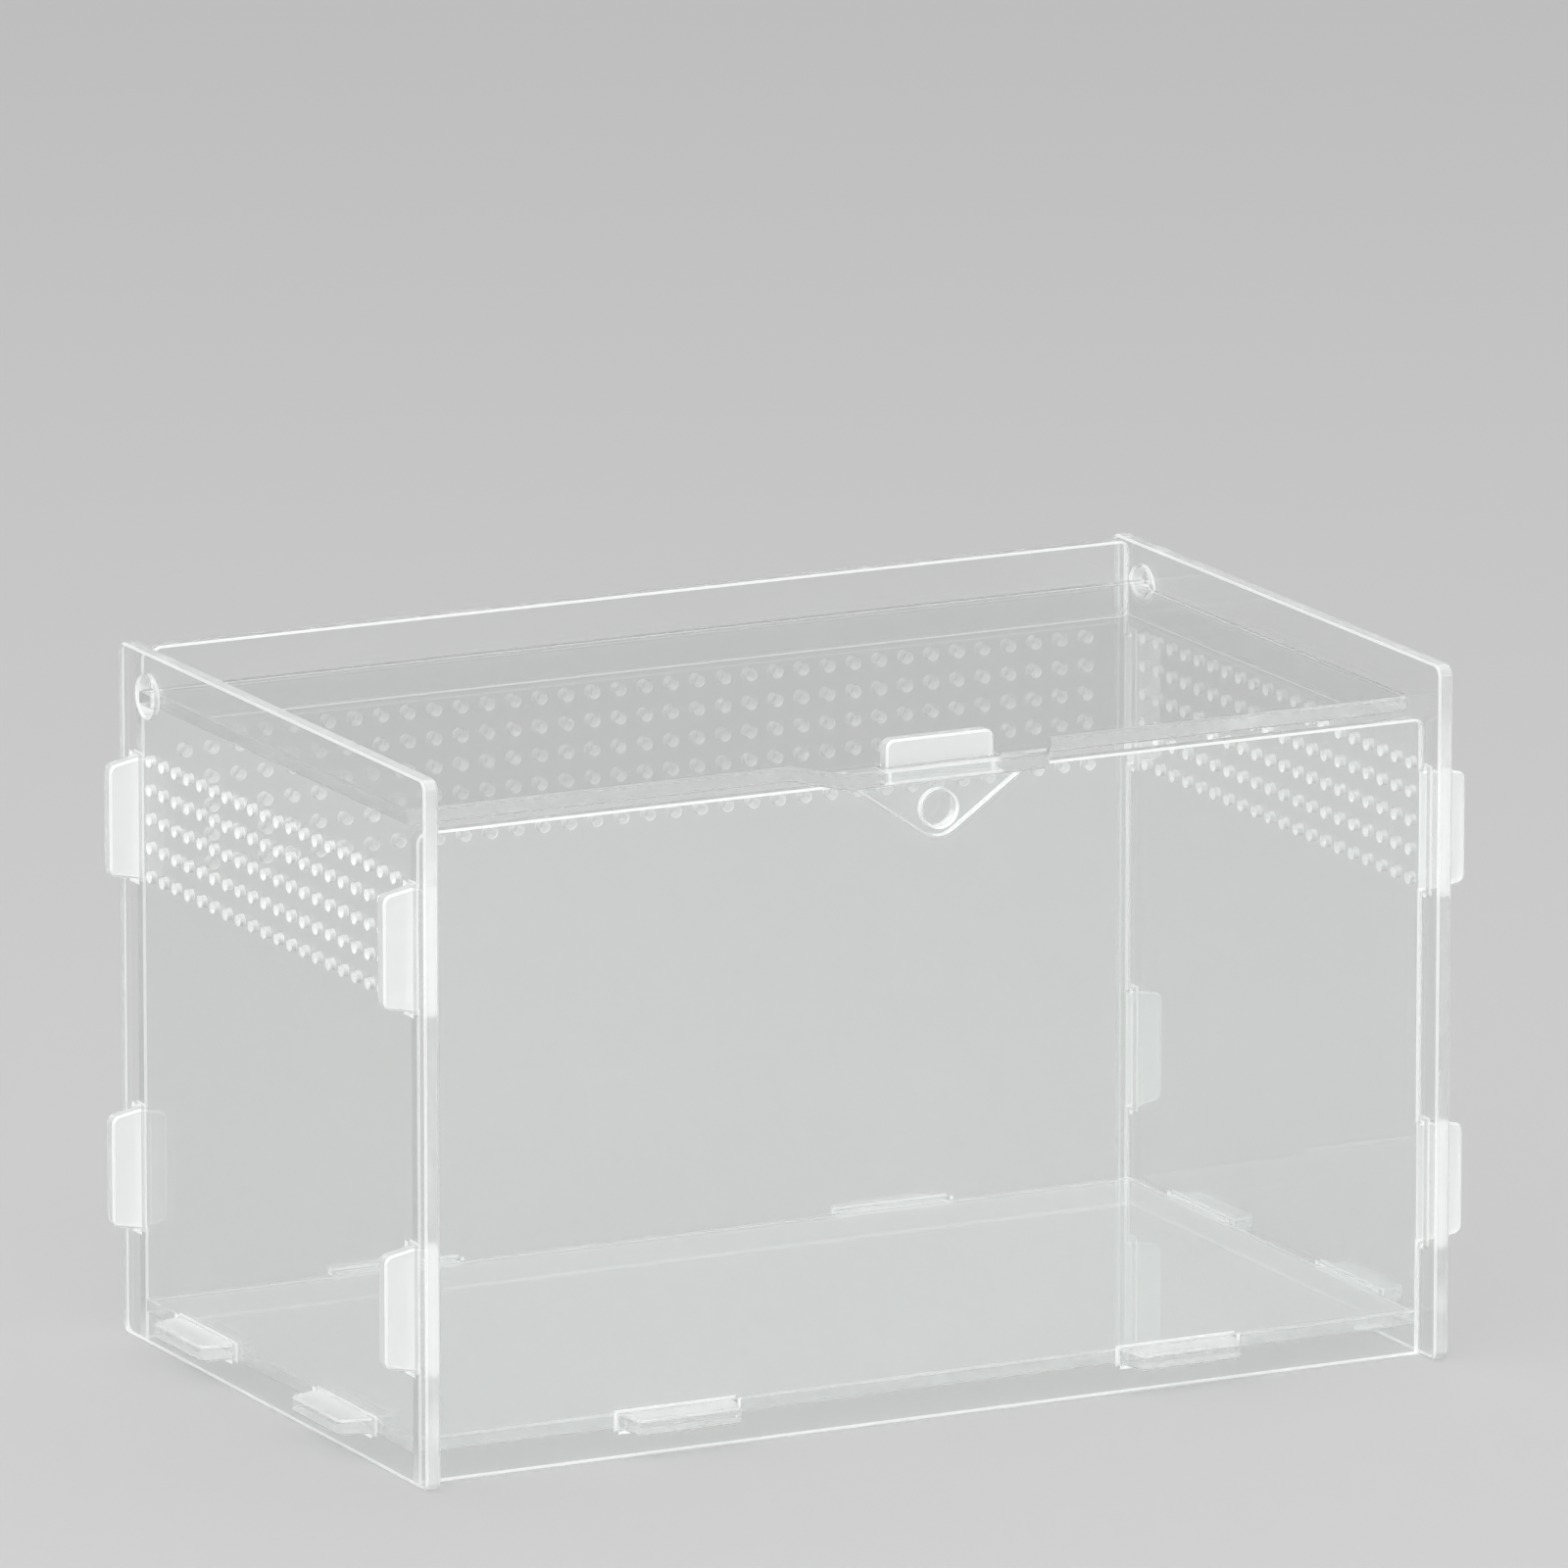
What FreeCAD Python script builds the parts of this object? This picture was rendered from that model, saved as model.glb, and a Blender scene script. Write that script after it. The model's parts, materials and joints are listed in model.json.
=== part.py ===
"""Flat-pack breeding box of clear acrylic sheet.

Two side panels carry everything: the front wall, the back wall and the floor pass rounded tabs
through slots in them, and the lid turns on two ears in round holes near their upper rear corners.
A pull tab stands in a slot in the lid's front tongue and hangs in front of the front wall.

Frame, in millimetres: +X to the right, +Y to the back, +Z up. The origin is on the table under the
middle of the whole box, from the tip of the lid's tongue to the rear edges of the side panels.
"""
import FreeCAD, Part
import os

import Sketcher

SIZES = [
    ("sheet_thickness", 2.8, "thickness of every panel"),
    ("outer_width", 196, "width over the outer faces of the side panels"),
    ("side_depth", 121, "side panel, front edge to rear edge"),
    ("side_height", 123, "side panel and back wall, bottom to top"),
    ("corner_radius", 2, "rounding of the panels' free corners"),
    ("wall_setback", 4.8, "front and back wall, in from the side panels' edges"),
    ("tab_width", 21.4, "tab, along the edge that it stands on"),
    ("tab_reach", 5.2, "tab tip beyond a side panel's outer face"),
    ("tab_taper", 1, "each side of a tab draws in by this beyond the panel that it passes"),
    ("tab_radius", 1.6, "rounding of the tab tips"),
    ("slot_face_gap", 0.1, "gap between a tab's face and its slot"),
    ("slot_end_gap", 0.5, "gap between a tab's side and the end of its slot"),
    ("lower_tab_height", 30.7, "middle of the walls' lower tabs above the table"),
    ("upper_tab_drop", 20, "middle of the walls' upper tabs below the front wall's top"),
    ("floor_height", 5, "floor underside above the table"),
    ("floor_tab_spread", 96, "between the floor's two tabs in the front or back wall"),
    ("floor_side_spread", 55.2, "between the floor's two tabs in a side panel"),
    ("front_drop", 10, "front wall's top below the side panels' tops"),
    ("lid_rest_gap", 0.3, "closed lid above the front wall"),
    ("lid_side_gap", 0.4, "lid to each side panel"),
    ("lid_front_gap", 1.5, "lid's front edge behind the front wall"),
    ("ear_width", 4.6, "hinge ear, front to back"),
    ("ear_swing_gap", 0.3, "least gap between a turning ear and the back wall"),
    ("ear_hole_gap", 0.6, "least gap between an ear and its hinge hole"),
    ("hinge_hole_rise", 0.5, "hinge axis, the middle of the hinge holes, above the middle of the ears"),
    ("tongue_root", 50, "lid tongue, width at the lid's front edge"),
    ("tongue_tip", 38, "lid tongue, width at its tip"),
    ("tongue_radius", 3, "rounding of the tongue's tip"),
    ("tongue_proud", 1.4, "lid tongue in front of the side panels' edges"),
    ("pull_gap", 0.3, "pull tab in front of the front wall"),
    ("pull_width", 20.6, "pull tab, width through the tongue"),
    ("pull_slot_gap", 0.7, "gap between the pull tab's side and the end of its slot"),
    ("pull_rise", 4.5, "pull tab above the lid"),
    ("pull_base", 34, "pull tab, width under the lid"),
    ("pull_hole", 6.2, "diameter of the pull tab's hole"),
    ("pull_hole_drop", 5.6, "middle of that hole below the lid"),
    ("pull_rim", 2, "pull tab round the underside of that hole"),
    ("vent_diameter", 2, "vent hole"),
    ("vent_pitch", 5.1, "between vent holes, both ways"),
    ("vent_rows", 5, "rows of vent holes"),
    ("vent_drop", 19.2, "middle row of vent holes below the front wall's top"),
    ("side_vent_margin", 4, "least distance from the front or back wall to the middle of a side vent"),
    ("back_vent_margin", 8, "least distance from a side panel to the middle of a back vent"),
]

doc = FreeCAD.newDocument("breeding_box")
sheet = doc.addObject("Spreadsheet::Sheet", "Sizes")
for row, (alias, size, meaning) in enumerate(SIZES, start=1):
    sheet.set(f"A{row}", meaning)
    sheet.set(f"B{row}", str(size))
    sheet.setAlias(f"B{row}", alias)
doc.recompute()

# Places that several panels share, as expressions on the sheet.
THICKNESS = "Sizes.sheet_thickness"
OUTSIDE_X = "Sizes.outer_width / 2"
INSIDE_X = f"({OUTSIDE_X} - {THICKNESS})"
FRONT_EDGE = "(Sizes.tongue_proud - Sizes.side_depth) / 2"
REAR_EDGE = "(Sizes.tongue_proud + Sizes.side_depth) / 2"
SIDE_MIDDLE = "Sizes.tongue_proud / 2"
FRONT_FACE = f"({FRONT_EDGE} + Sizes.wall_setback)"
FRONT_INSIDE = f"({FRONT_FACE} + {THICKNESS})"
BACK_FACE = f"({REAR_EDGE} - Sizes.wall_setback)"
BACK_INSIDE = f"({BACK_FACE} - {THICKNESS})"
FRONT_TOP = "(Sizes.side_height - Sizes.front_drop)"
TAB_HEIGHTS = ("Sizes.lower_tab_height", f"({FRONT_TOP} - Sizes.upper_tab_drop)")
LID_UNDERSIDE = f"({FRONT_TOP} + Sizes.lid_rest_gap)"
LID_TOP = f"({LID_UNDERSIDE} + {THICKNESS})"
EAR_CORNER = f"sqrt((Sizes.ear_width / 2) ^ 2 + ({THICKNESS} / 2 + Sizes.hinge_hole_rise) ^ 2)"
HINGE_Y = f"({BACK_INSIDE} - {EAR_CORNER} - Sizes.ear_swing_gap)"
HINGE_Z = f"({LID_UNDERSIDE} + {THICKNESS} / 2 + Sizes.hinge_hole_rise)"
HINGE_HOLE = f"2 * ({EAR_CORNER} + Sizes.ear_hole_gap)"
PULL_REAR = f"({FRONT_FACE} - Sizes.pull_gap)"
PULL_MIDDLE = f"({PULL_REAR} - {THICKNESS} / 2)"
PULL_RADIUS = "(Sizes.pull_hole / 2 + Sizes.pull_rim)"
PULL_REACH = "sqrt((Sizes.pull_base / 2) ^ 2 + Sizes.pull_hole_drop ^ 2)"
PULL_SLOPE = f"(atan(2 * Sizes.pull_hole_drop / Sizes.pull_base) + asin({PULL_RADIUS} / {PULL_REACH}))"
FLOOR_MIDDLE = f"(Sizes.floor_height + {THICKNESS} / 2)"
SLOT_LENGTH = "(Sizes.tab_width + 2 * Sizes.slot_end_gap)"
SLOT_WIDTH = f"({THICKNESS} + 2 * Sizes.slot_face_gap)"

# Two points nearer than this, in millimetres, are the same place.
SAME_PLACE = 0.001
# The least share of a panel's volume that a cut takes away.
LEAST_CUT = 1e-6
# The two model axes that a sketch on each origin plane draws in.
PLANE_AXES = {"XY_Plane": (0, 1), "XZ_Plane": (0, 2), "YZ_Plane": (1, 2)}
# The origin plane XZ looks along -Y, so its offset has the other sign.
PLANE_SIGN = {"XY_Plane": "", "XZ_Plane": "-", "YZ_Plane": ""}


def value(expression):
    """The number that an expression on the sheet gives."""
    return float(sheet.evalExpression(expression))


class Panel:
    """One flat panel: a body cut from the sheet, drawn on a plane at an offset from the origin."""

    def __init__(self, name, plane, offset):
        self.name = name
        self.plane = plane
        self.offset = PLANE_SIGN[plane] + offset
        self.body = doc.addObject("PartDesign::Body", name)
        self.body.Label = name

    def sketch(self, name):
        """An empty sketch on the panel's plane."""
        sketch = self.body.newObject("Sketcher::SketchObject", f"{self.name}_{name}")
        planes = [f for f in self.body.Origin.OriginFeatures if f.Role == self.plane]
        sketch.AttachmentSupport = (planes[0], "")
        sketch.MapMode = "FlatFace"
        sketch.setExpression("AttachmentOffset.Base.z", self.offset)
        return sketch

    def plate(self, corners):
        """Pad an outline to the sheet's thickness."""
        outline = self.sketch("outline")
        add_polygon(outline, corners)
        pad = self.body.newObject("PartDesign::Pad", f"{self.name}_plate")
        pad.Profile = outline
        pad.setExpression("Length", THICKNESS)
        doc.recompute()

    def cut(self, sketch):
        """Cut a finished sketch right through the panel."""
        pocket = self.body.newObject("PartDesign::Pocket", f"{sketch.Name}_cut")
        pocket.Profile = sketch
        pocket.Type = "Length"
        pocket.Reversed = True
        pocket.setExpression("Length", THICKNESS)
        before = self.body.Shape.Volume
        doc.recompute()
        if self.body.Shape.Volume > before * (1 - LEAST_CUT):
            raise RuntimeError(f"{sketch.Name} cuts nothing")
        return pocket

    def round_corners(self, name, corners, radius):
        """Round the upright edges that stand on the given corners of the outline."""
        axes = PLANE_AXES[self.plane]
        places = [(value(u), value(v)) for u, v in corners]
        edges = []
        for index, edge in enumerate(self.body.Shape.Edges, start=1):
            if any(stands_on(edge, axes, place) for place in places):
                edges.append(f"Edge{index}")
        if len(edges) != len(corners):
            raise RuntimeError(f"{self.name}: found {len(edges)} of {len(corners)} corners")
        rounded = self.body.Tip
        fillet = self.body.newObject("PartDesign::Fillet", f"{self.name}_{name}")
        fillet.Base = (rounded, edges)
        fillet.setExpression("Radius", radius)
        doc.recompute()

    def vents(self, middle, span):
        """A grid of vent holes about a middle place, in as many columns as the span takes."""
        columns = f"(floor({span} / Sizes.vent_pitch) + 1)"
        width = f"({columns} - 1) * Sizes.vent_pitch"
        height = "(Sizes.vent_rows - 1) * Sizes.vent_pitch"
        lowest = f"({FRONT_TOP} - Sizes.vent_drop - {height} / 2)"
        sketch = self.sketch("vent")
        add_circle(sketch, f"({middle} - {width} / 2)", lowest, "Sizes.vent_diameter")
        hole = self.cut(sketch)
        grid = self.body.newObject("PartDesign::LinearPattern", f"{self.name}_vents")
        grid.Originals = [hole]
        grid.Direction = (sketch, ["H_Axis"])
        grid.Direction2 = (sketch, ["V_Axis"])
        grid.Mode = "Extent"
        grid.Mode2 = "Extent"
        grid.setExpression("Length", width)
        grid.setExpression("Length2", height)
        grid.setExpression("Occurrences", columns)
        grid.setExpression("Occurrences2", "Sizes.vent_rows")
        self.body.Tip = grid
        doc.recompute()


def stands_on(edge, axes, place):
    """Whether an edge runs straight up from one place of the plane with those two axes."""
    ends = [vertex.Point for vertex in edge.Vertexes]
    gaps = [abs(end[axis] - at) for end in ends for axis, at in zip(axes, place)]
    return len(ends) == 2 and max(gaps) < SAME_PLACE


def hold_point(sketch, geometry, position, u, v):
    """Tie a point of a sketch to two expressions, measured from the sketch's origin."""
    for kind, expression in (("DistanceX", u), ("DistanceY", v)):
        constraint = Sketcher.Constraint(kind, -1, 1, geometry, position, value(expression))
        index = sketch.addConstraint(constraint)
        sketch.setExpression(f"Constraints[{index}]", expression)


def add_polygon(sketch, corners):
    """A closed outline of straight lines whose corners are pairs of expressions."""
    points = [FreeCAD.Vector(value(u), value(v), 0) for u, v in corners]
    lines = []
    for start, end in zip(points, points[1:] + points[:1]):
        lines.append(sketch.addGeometry(Part.LineSegment(start, end)))
    for line, following in zip(lines, lines[1:] + lines[:1]):
        sketch.addConstraint(Sketcher.Constraint("Coincident", line, 2, following, 1))
    for line, (u, v) in zip(lines, corners):
        hold_point(sketch, line, 1, u, v)


def add_rectangle(sketch, middle_u, middle_v, size_u, size_v):
    """A rectangle about a middle point."""
    left, right = f"{middle_u} - {size_u} / 2", f"{middle_u} + {size_u} / 2"
    low, high = f"{middle_v} - {size_v} / 2", f"{middle_v} + {size_v} / 2"
    add_polygon(sketch, [(left, low), (right, low), (right, high), (left, high)])


def add_circle(sketch, middle_u, middle_v, diameter):
    """A circle about a middle point."""
    middle = FreeCAD.Vector(value(middle_u), value(middle_v), 0)
    circle = sketch.addGeometry(Part.Circle(middle, FreeCAD.Vector(0, 0, 1), value(diameter) / 2))
    hold_point(sketch, circle, 3, middle_u, middle_v)
    index = sketch.addConstraint(Sketcher.Constraint("Diameter", circle, value(diameter)))
    sketch.setExpression(f"Constraints[{index}]", diameter)


def tab_on(edge, outward, middle, reach):
    """Corners of a tab, as (across the edge, along the edge), in the order of rising places along it.

    It passes one thickness of sheet at its full width, and draws in over its reach beyond that.
    """
    passed = f"{edge} {outward} {THICKNESS}"
    end = f"{passed} {outward} {reach}"
    low, high = f"{middle} - Sizes.tab_width / 2", f"{middle} + Sizes.tab_width / 2"
    rising = [(edge, low), (passed, low), (end, f"{low} + Sizes.tab_taper")]
    return rising + [(end, f"{high} - Sizes.tab_taper"), (passed, high), (edge, high)]


def tab_tips(tab):
    """The two corners at a tab's tip."""
    return [tab[2], tab[3]]


def swapped(corners):
    """The same corners with the two sketch directions exchanged."""
    return [(v, u) for u, v in corners]


def side_panel(name, left_x):
    """A side panel, slotted for both walls and the floor, with its hinge hole and vents."""
    panel = Panel(name, "YZ_Plane", left_x)
    outline = [(FRONT_EDGE, "0"), (REAR_EDGE, "0"),
               (REAR_EDGE, "Sizes.side_height"), (FRONT_EDGE, "Sizes.side_height")]
    panel.plate(outline)
    panel.round_corners("corners", outline, "Sizes.corner_radius")
    slots = panel.sketch("slots")
    for wall in (f"({FRONT_FACE} + {THICKNESS} / 2)", f"({BACK_FACE} - {THICKNESS} / 2)"):
        for height in TAB_HEIGHTS:
            add_rectangle(slots, wall, height, SLOT_WIDTH, SLOT_LENGTH)
    for sign in ("-", "+"):
        middle = f"({SIDE_MIDDLE} {sign} Sizes.floor_side_spread / 2)"
        add_rectangle(slots, middle, FLOOR_MIDDLE, SLOT_LENGTH, SLOT_WIDTH)
    add_circle(slots, HINGE_Y, HINGE_Z, HINGE_HOLE)
    panel.cut(slots)
    panel.vents(SIDE_MIDDLE, f"({BACK_INSIDE} - {FRONT_INSIDE} - 2 * Sizes.side_vent_margin)")
    return panel


def wall_panel(name, rear_y, height, vented):
    """A front or back wall between the side panels, with two tabs at each end and floor slots."""
    panel = Panel(name, "XZ_Plane", rear_y)
    right = [tab_on(INSIDE_X, "+", middle, "Sizes.tab_reach") for middle in TAB_HEIGHTS]
    left = [tab_on(f"-{INSIDE_X}", "-", middle, "Sizes.tab_reach") for middle in TAB_HEIGHTS]
    top = [(INSIDE_X, height), (f"-{INSIDE_X}", height)]
    outline = [(f"-{INSIDE_X}", "0"), (INSIDE_X, "0")] + right[0] + right[1] + top
    outline += left[1][::-1] + left[0][::-1]
    panel.plate(outline)
    panel.round_corners("top_corners", top, "Sizes.corner_radius")
    tips = [corner for tab in right + left for corner in tab_tips(tab)]
    panel.round_corners("tab_tips", tips, "Sizes.tab_radius")
    slots = panel.sketch("slots")
    for sign in ("-", "+"):
        add_rectangle(slots, f"{sign}Sizes.floor_tab_spread / 2", FLOOR_MIDDLE, SLOT_LENGTH, SLOT_WIDTH)
    panel.cut(slots)
    if vented:
        panel.vents("0", f"(2 * {INSIDE_X} - 2 * Sizes.back_vent_margin)")
    return panel


def floor_panel(name):
    """The floor between the four walls, with two tabs on each edge."""
    panel = Panel(name, "XY_Plane", "Sizes.floor_height")
    across = ["-Sizes.floor_tab_spread / 2", "Sizes.floor_tab_spread / 2"]
    along = [f"({SIDE_MIDDLE} {sign} Sizes.floor_side_spread / 2)" for sign in ("-", "+")]
    front = [swapped(tab_on(FRONT_INSIDE, "-", middle, "Sizes.wall_setback")) for middle in across]
    back = [swapped(tab_on(BACK_INSIDE, "+", middle, "Sizes.wall_setback")) for middle in across]
    right = [tab_on(INSIDE_X, "+", middle, "Sizes.tab_reach") for middle in along]
    left = [tab_on(f"-{INSIDE_X}", "-", middle, "Sizes.tab_reach") for middle in along]
    outline = [(f"-{INSIDE_X}", FRONT_INSIDE)] + front[0] + front[1]
    outline += [(INSIDE_X, FRONT_INSIDE)] + right[0] + right[1]
    outline += [(INSIDE_X, BACK_INSIDE)] + back[1][::-1] + back[0][::-1]
    outline += [(f"-{INSIDE_X}", BACK_INSIDE)] + left[1][::-1] + left[0][::-1]
    panel.plate(outline)
    tips = [corner for tab in front + back + right + left for corner in tab_tips(tab)]
    panel.round_corners("tab_tips", tips, "Sizes.tab_radius")
    return panel


def lid_panel(name):
    """The lid: hinge ears at its rear corners and a slotted tongue at the middle of its front."""
    panel = Panel(name, "XY_Plane", LID_UNDERSIDE)
    half = f"({INSIDE_X} - Sizes.lid_side_gap)"
    front = f"({FRONT_INSIDE} + Sizes.lid_front_gap)"
    ear_front = f"({HINGE_Y} - Sizes.ear_width / 2)"
    rear = f"({HINGE_Y} + Sizes.ear_width / 2)"
    tongue_end = f"({FRONT_EDGE} - Sizes.tongue_proud)"
    corners = [(f"-{half}", front), (half, front)]
    tongue = [("-Sizes.tongue_root / 2", front), ("-Sizes.tongue_tip / 2", tongue_end),
              ("Sizes.tongue_tip / 2", tongue_end), ("Sizes.tongue_root / 2", front)]
    right_ear = [(half, ear_front), (OUTSIDE_X, ear_front), (OUTSIDE_X, rear)]
    left_ear = [(f"-{OUTSIDE_X}", rear), (f"-{OUTSIDE_X}", ear_front), (f"-{half}", ear_front)]
    panel.plate([corners[0]] + tongue + [corners[1]] + right_ear + left_ear)
    panel.round_corners("corners", corners, "Sizes.corner_radius")
    panel.round_corners("tongue_tip", tongue[1:3], "Sizes.tongue_radius")
    slot = panel.sketch("slot")
    width = "(Sizes.pull_width + 2 * Sizes.pull_slot_gap)"
    add_rectangle(slot, "0", PULL_MIDDLE, width, SLOT_WIDTH)
    panel.cut(slot)
    return panel


def pull_tab(name):
    """The pull tab: a stem up through the tongue over a pointed plate, rounded about its hole."""
    panel = Panel(name, "XZ_Plane", PULL_REAR)
    top = f"({LID_TOP} + Sizes.pull_rise)"
    point = ("0", f"({LID_UNDERSIDE} - Sizes.pull_base / 2 * tan({PULL_SLOPE}))")
    stem_top = [("Sizes.pull_width / 2", top), ("-Sizes.pull_width / 2", top)]
    right = [("Sizes.pull_base / 2", LID_UNDERSIDE), ("Sizes.pull_width / 2", LID_UNDERSIDE)]
    left = [("-Sizes.pull_width / 2", LID_UNDERSIDE), ("-Sizes.pull_base / 2", LID_UNDERSIDE)]
    panel.plate([point] + right + stem_top + left)
    panel.round_corners("point", [point], PULL_RADIUS)
    panel.round_corners("stem_corners", stem_top, "Sizes.tab_radius")
    hole = panel.sketch("hole")
    add_circle(hole, "0", f"({LID_UNDERSIDE} - Sizes.pull_hole_drop)", "Sizes.pull_hole")
    panel.cut(hole)
    return panel


panels = [
    side_panel("left_side_panel", f"-{OUTSIDE_X}"),
    side_panel("right_side_panel", INSIDE_X),
    wall_panel("front_panel", FRONT_INSIDE, FRONT_TOP, vented=False),
    wall_panel("back_panel", BACK_FACE, "Sizes.side_height", vented=True),
    floor_panel("floor_panel"),
    lid_panel("lid_panel"),
    pull_tab("pull_tab"),
]
doc.recompute()

# Nothing is written unless every feature worked and each panel is one sound solid.
for item in doc.Objects:
    if "Invalid" in item.State or "Error" in item.State:
        raise RuntimeError(f"{item.Name} failed: {item.State}")
for panel in panels:
    shape = panel.body.Shape
    if shape.isNull() or not shape.isValid() or len(shape.Solids) != 1:
        raise RuntimeError(f"{panel.name} is not one sound solid")

os.makedirs("parts", exist_ok=True)
for panel in panels:
    panel.body.Shape.exportStep(f"parts/{panel.body.Label}.step")
    box = panel.body.Shape.BoundBox
    print(f"{panel.name}: x {box.XMin:.2f} {box.XMax:.2f}  y {box.YMin:.2f} {box.YMax:.2f}"
          f"  z {box.ZMin:.2f} {box.ZMax:.2f}  volume {panel.body.Shape.Volume:.0f}")
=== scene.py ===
"""Clear acrylic breeding box: the look of each cut panel, the studio round it and the camera."""
import json
import math

import bmesh
import bpy
from mathutils import Matrix, Vector


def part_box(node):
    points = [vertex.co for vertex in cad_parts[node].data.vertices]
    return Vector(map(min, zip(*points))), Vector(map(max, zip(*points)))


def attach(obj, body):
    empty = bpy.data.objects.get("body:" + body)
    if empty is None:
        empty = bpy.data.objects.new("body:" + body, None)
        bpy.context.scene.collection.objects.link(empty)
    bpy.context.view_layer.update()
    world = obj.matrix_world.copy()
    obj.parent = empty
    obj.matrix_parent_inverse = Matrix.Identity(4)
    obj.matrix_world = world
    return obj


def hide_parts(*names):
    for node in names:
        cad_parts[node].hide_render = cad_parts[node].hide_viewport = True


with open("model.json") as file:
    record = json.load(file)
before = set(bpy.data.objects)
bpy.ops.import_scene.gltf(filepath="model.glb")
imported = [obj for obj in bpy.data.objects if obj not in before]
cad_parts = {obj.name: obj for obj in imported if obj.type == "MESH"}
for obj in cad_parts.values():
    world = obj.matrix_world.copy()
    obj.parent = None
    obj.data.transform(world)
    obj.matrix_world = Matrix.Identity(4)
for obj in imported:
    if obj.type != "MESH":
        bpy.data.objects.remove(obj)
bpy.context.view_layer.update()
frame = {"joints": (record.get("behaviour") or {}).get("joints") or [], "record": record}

# Sizes of the cut panels, in millimetres.
MM = 0.001
CORNER_RADIUS = 2.0
TAB_WIDTH = 21.4
TAB_TAPER = 1.0
TAB_RADIUS = 1.6
SLOT_FACE_GAP = 0.1
SLOT_END_GAP = 0.5
LOWER_TAB_HEIGHT = 30.7
UPPER_TAB_DROP = 20.0
FLOOR_TAB_SPREAD = 96.0
FLOOR_SIDE_SPREAD = 55.2
LID_SIDE_GAP = 0.4
LID_FRONT_GAP = 1.5
EAR_WIDTH = 4.6
EAR_HOLE_GAP = 0.6
TONGUE_ROOT = 50.0
TONGUE_TIP = 38.0
TONGUE_RADIUS = 3.0
PULL_WIDTH = 20.6
PULL_SLOT_GAP = 0.7
PULL_RIM = 2.0
VENT_DIAMETER = 2.0
VENT_PITCH = 5.1
VENT_ROWS = 5
VENT_DROP = 19.2
SIDE_VENT_COLUMNS = 20
BACK_VENT_COLUMNS = 35
# A hair of room where two panels butt, so that no two faces lie in one plane.
BUTT_GAP = 0.05
# The tiny break of edges and vents, and how finely round corners and holes are drawn.
EDGE_BREAK = 0.4
VENT_BREAK = 0.12
CORNER_SEGMENTS = 8
VENT_SEGMENTS = 20
HOLE_SEGMENTS = 56
SMOOTH_ANGLE = math.radians(20)
# Corners nearer than this are one corner.
SAME_PLACE = 0.001

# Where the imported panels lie, in millimetres.
LEFT_LOW, LEFT_HIGH = [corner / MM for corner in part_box("left_side_panel")]
RIGHT_LOW, RIGHT_HIGH = [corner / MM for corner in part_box("right_side_panel")]
FRONT_LOW, FRONT_HIGH = [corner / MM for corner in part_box("front_panel")]
BACK_LOW, BACK_HIGH = [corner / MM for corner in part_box("back_panel")]
FLOOR_LOW, FLOOR_HIGH = [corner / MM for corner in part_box("floor_panel")]
LID_LOW, LID_HIGH = [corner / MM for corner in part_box("lid_panel")]
PULL_LOW, PULL_HIGH = [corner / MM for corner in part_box("pull_tab")]
HINGE = Vector(frame["joints"][0]["pos_m"]) / MM
PULL_HOLE = next(mount for mount in frame["record"]["mounts"] if mount["name"] == "pull_hole")
PULL_HOLE_PLACE = Vector(PULL_HOLE["pos_m"]) / MM
PULL_HOLE_RADIUS = PULL_HOLE["dims"]["r_mm"]

THICKNESS = LEFT_HIGH.x - LEFT_LOW.x
INSIDE_X = RIGHT_LOW.x
FRONT_TOP = FRONT_HIGH.z
SIDE_MIDDLE = (LEFT_LOW.y + LEFT_HIGH.y) / 2
FLOOR_MIDDLE = (FLOOR_LOW.z + FLOOR_HIGH.z) / 2
TAB_HEIGHTS = (LOWER_TAB_HEIGHT, FRONT_TOP - UPPER_TAB_DROP)
SLOT_WIDTH = THICKNESS + 2 * SLOT_FACE_GAP
SLOT_LENGTH = TAB_WIDTH + 2 * SLOT_END_GAP
VENT_HEIGHT = FRONT_TOP - VENT_DROP
EAR_CORNER = math.hypot(EAR_WIDTH / 2, HINGE.z - LID_LOW.z)
HINGE_HOLE = 2 * (EAR_CORNER + EAR_HOLE_GAP)
# Planes, as a direction and a distance, beyond which a wall or the pull tab shows only its tabs.
WALL_TAB_ROOTS = [((1, 0, 0), INSIDE_X), ((-1, 0, 0), INSIDE_X)]
FLOOR_TAB_ROOTS = WALL_TAB_ROOTS + [((0, -1, 0), -FRONT_HIGH.y), ((0, 1, 0), BACK_LOW.y)]
STEM_ROOT = [((0, 0, 1), LID_HIGH.z)]

# How a flat drawing is turned to stand in its panel's plane.
LYING = Matrix.Identity(3)
FACING_FRONT = Matrix(((1, 0, 0), (0, 0, -1), (0, 1, 0)))
FACING_RIGHT = Matrix(((0, 0, 1), (1, 0, 0), (0, 1, 0)))


class Wire:
    """One output of a node; arithmetic on it adds Math nodes to its tree."""

    def __init__(self, tree, output):
        self.tree = tree
        self.output = output

    def other(self, name):
        """Another output of the same node."""
        return Wire(self.tree, self.output.node.outputs[name])

    def maths(self, operation, first, second):
        """A Math node on two values or wires."""
        return self.tree.node("ShaderNodeMath", {"operation": operation}, {0: first, 1: second})

    def __add__(self, value):
        return self.maths("ADD", self, value)

    def __radd__(self, value):
        return self.maths("ADD", value, self)

    def __sub__(self, value):
        return self.maths("SUBTRACT", self, value)

    def __rsub__(self, value):
        return self.maths("SUBTRACT", value, self)

    def __mul__(self, value):
        return self.maths("MULTIPLY", self, value)

    def __rmul__(self, value):
        return self.maths("MULTIPLY", value, self)

    def __truediv__(self, value):
        return self.maths("DIVIDE", self, value)

    def __rtruediv__(self, value):
        return self.maths("DIVIDE", value, self)

    def __gt__(self, value):
        return self.maths("GREATER_THAN", self, value)


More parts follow.
